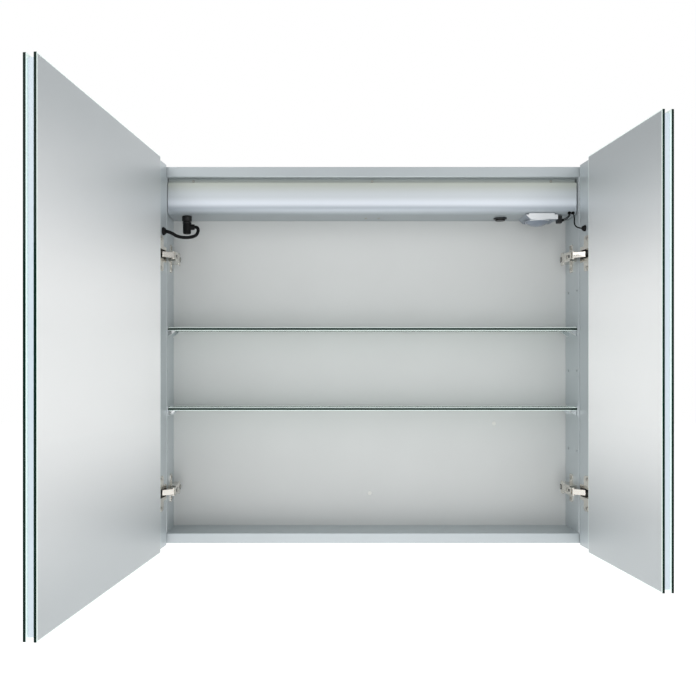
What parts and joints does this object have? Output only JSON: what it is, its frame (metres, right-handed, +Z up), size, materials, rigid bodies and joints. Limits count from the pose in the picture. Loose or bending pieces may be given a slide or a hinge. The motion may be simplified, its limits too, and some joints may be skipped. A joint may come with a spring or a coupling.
{
  "type": "medicine_cabinet",
  "caption": "Medicine cabinet with two double-mirrored swinging doors, lit edges, light housing with switch and sensor, and glass shelves on clips",
  "frame": {"origin": "on the wall plane, at the middle of the wall rail holes", "axes": "+X along the wall to the right as seen from the room, +Y into the wall, +Z up"},
  "size_m": [0.8683, 0.5998, 0.7],
  "materials": {
    "body_aluminium": "anodised, satin",
    "back_panel_paint": "light warm grey, matt",
    "mirror_glass": "silvered glass, polished edges",
    "door_aluminium": "anodised, satin",
    "light_diffuser": "opal, lit from behind",
    "light_board": "white circuit board",
    "clear_glass": "clear float glass, green edges",
    "housing_paint": "grey lacquer, satin",
    "screw_steel": "zinc plated",
    "zinc_steel": "zinc plated",
    "nickel_steel": "nickel plated",
    "clip_chrome": "polished",
    "lens_plastic": "translucent grey blue",
    "sensor_shell": "silver grey",
    "black_rubber": "black, matt",
    "driver_case": "white case",
    "plug_white": "white",
    "dark_plastic": "dark grey"
  },
  "bodies": {
    "cabinet": {"back_panel": "back_panel_paint", "back_plugs": "plug_white", "bottom_panel": "body_aluminium", "corner_connectors": "zinc_steel", "hanging_hooks": "zinc_steel", "hinge_screws": "screw_steel", "housing_cover": "housing_paint", "housing_left_cap": "housing_paint", "housing_rail": "zinc_steel", "housing_right_cap": "housing_paint", "housing_screws": "screw_steel", "lead_bushes": "black_rubber", "lead_plug": "black_rubber", "lead_socket": "dark_plastic", "led_driver": "driver_case", "left_door_lead": "black_rubber", "left_hinge_plates": "nickel_steel", "left_lower_hinge_arm": "nickel_steel", "left_side_panel": "body_aluminium", "left_upper_hinge_arm": "nickel_steel", "lower_shelf": "clear_glass", "lower_spacers": "black_rubber", "mains_gland": "dark_plastic", "right_door_lead": "black_rubber", "right_hinge_plates": "nickel_steel", "right_lower_hinge_arm": "nickel_steel", "right_side_panel": "body_aluminium", "right_upper_hinge_arm": "nickel_steel", "sensor_body": "sensor_shell", "sensor_leads": "black_rubber", "sensor_lens": "lens_plastic", "sensor_plug": "dark_plastic", "shelf_clips": "clip_chrome", "switch_bezel": "dark_plastic", "switch_spring": "zinc_steel", "terminal_block": "dark_plastic", "top_panel": "body_aluminium", "upper_shelf": "clear_glass", "wall_rail": "zinc_steel"},
    "left_door": {"left_cup_screws": "screw_steel", "left_door_frame": "door_aluminium", "left_edge_diffuser": "light_diffuser", "left_inner_mirror": "mirror_glass", "left_lead_grommet": "black_rubber", "left_led_strip": "light_board", "left_lower_hinge_cup": "nickel_steel", "left_outer_mirror": "mirror_glass", "left_upper_hinge_cup": "nickel_steel"},
    "right_door": {"right_cup_screws": "screw_steel", "right_door_frame": "door_aluminium", "right_edge_diffuser": "light_diffuser", "right_inner_mirror": "mirror_glass", "right_lead_grommet": "black_rubber", "right_led_strip": "light_board", "right_lower_hinge_cup": "nickel_steel", "right_outer_mirror": "mirror_glass", "right_upper_hinge_cup": "nickel_steel"},
    "left_links": {"left_hinge_links": "nickel_steel"},
    "right_links": {"right_hinge_links": "nickel_steel"},
    "light_button": {"switch_button": "dark_plastic"}
  },
  "joints": [
    {"name": "left_door_swing", "type": "hinge", "parent": "cabinet", "child": "left_door", "pos_m": [-0.3868, -0.11495, 0], "axis": [0, 0, -1], "range_deg": [-97.8, 12.2], "deforming": ["left_door_lead"]},
    {"name": "right_door_swing", "type": "hinge", "parent": "cabinet", "child": "right_door", "pos_m": [0.3868, -0.11495, 0], "axis": [0, 0, 1], "range_deg": [-93.8, 16.2], "deforming": ["right_door_lead"]},
    {"name": "left_link_turn", "type": "hinge", "parent": "cabinet", "child": "left_links", "pos_m": [-0.363, -0.11, 0], "axis": [0, 0, -1], "range_deg": [-6.2, 46.2]},
    {"name": "right_link_turn", "type": "hinge", "parent": "cabinet", "child": "right_links", "pos_m": [0.363, -0.11, 0], "axis": [0, 0, 1], "range_deg": [-7.8, 44.5]},
    {"name": "button_press", "type": "slide", "parent": "cabinet", "child": "light_button", "axis": [0, 0, 1], "range_m": [0, 0.002], "stiffness_N_per_m": 600, "deforming": ["switch_spring"]}
  ],
  "couplings": [
    {"joint": "left_link_turn", "follows": "left_door_swing", "ratio": -0.47035},
    {"joint": "right_link_turn", "follows": "right_door_swing", "ratio": -0.47035}
  ]
}
